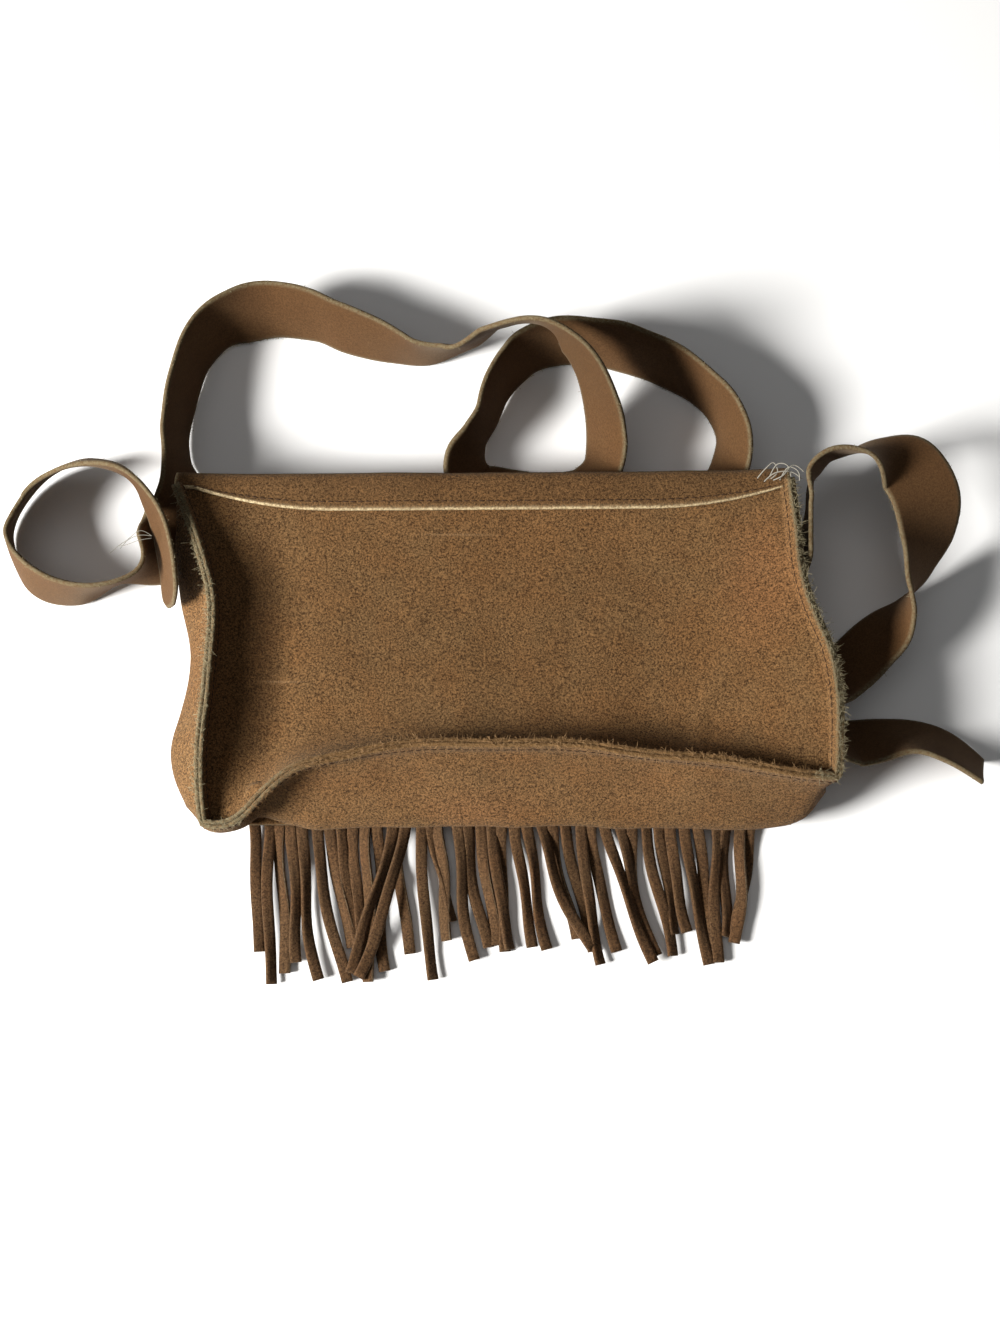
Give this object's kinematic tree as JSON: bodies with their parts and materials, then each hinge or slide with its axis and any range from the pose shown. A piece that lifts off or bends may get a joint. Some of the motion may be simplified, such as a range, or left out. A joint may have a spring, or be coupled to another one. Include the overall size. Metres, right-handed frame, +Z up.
{
  "type": "fringed suede bag",
  "caption": "Small fringed suede shoulder bag lying empty on its front, raw-edged seams, folded flap with a cut fringe, flat straps looped beside it",
  "frame": {"origin": "on the flat outer face of the flap that rests on the table, near the middle of the bag", "axes": "+Z up and out of the resting face, +X along the bag from the ring of the long strap to the free end of the short strap, +Y from the fringe to the bag's top edge"},
  "size_m": [0.4787, 0.3412, 0.0752],
  "materials": {
    "suede_body": "mid-brown napped suede, raw cut edges",
    "suede_fringe": "mid-brown napped suede, cut into strands",
    "suede_strap": "darker brown suede, smoother than the body",
    "thread": "matt sewing thread, with grey loose ends"
  },
  "bodies": {
    "root": {"back_panel": "suede_body", "front_panel": "suede_body", "gusset": "suede_body", "flap": "suede_body", "fringe": "suede_fringe", "long_strap": "suede_strap", "short_strap": "suede_strap"}
  },
  "joints": []
}
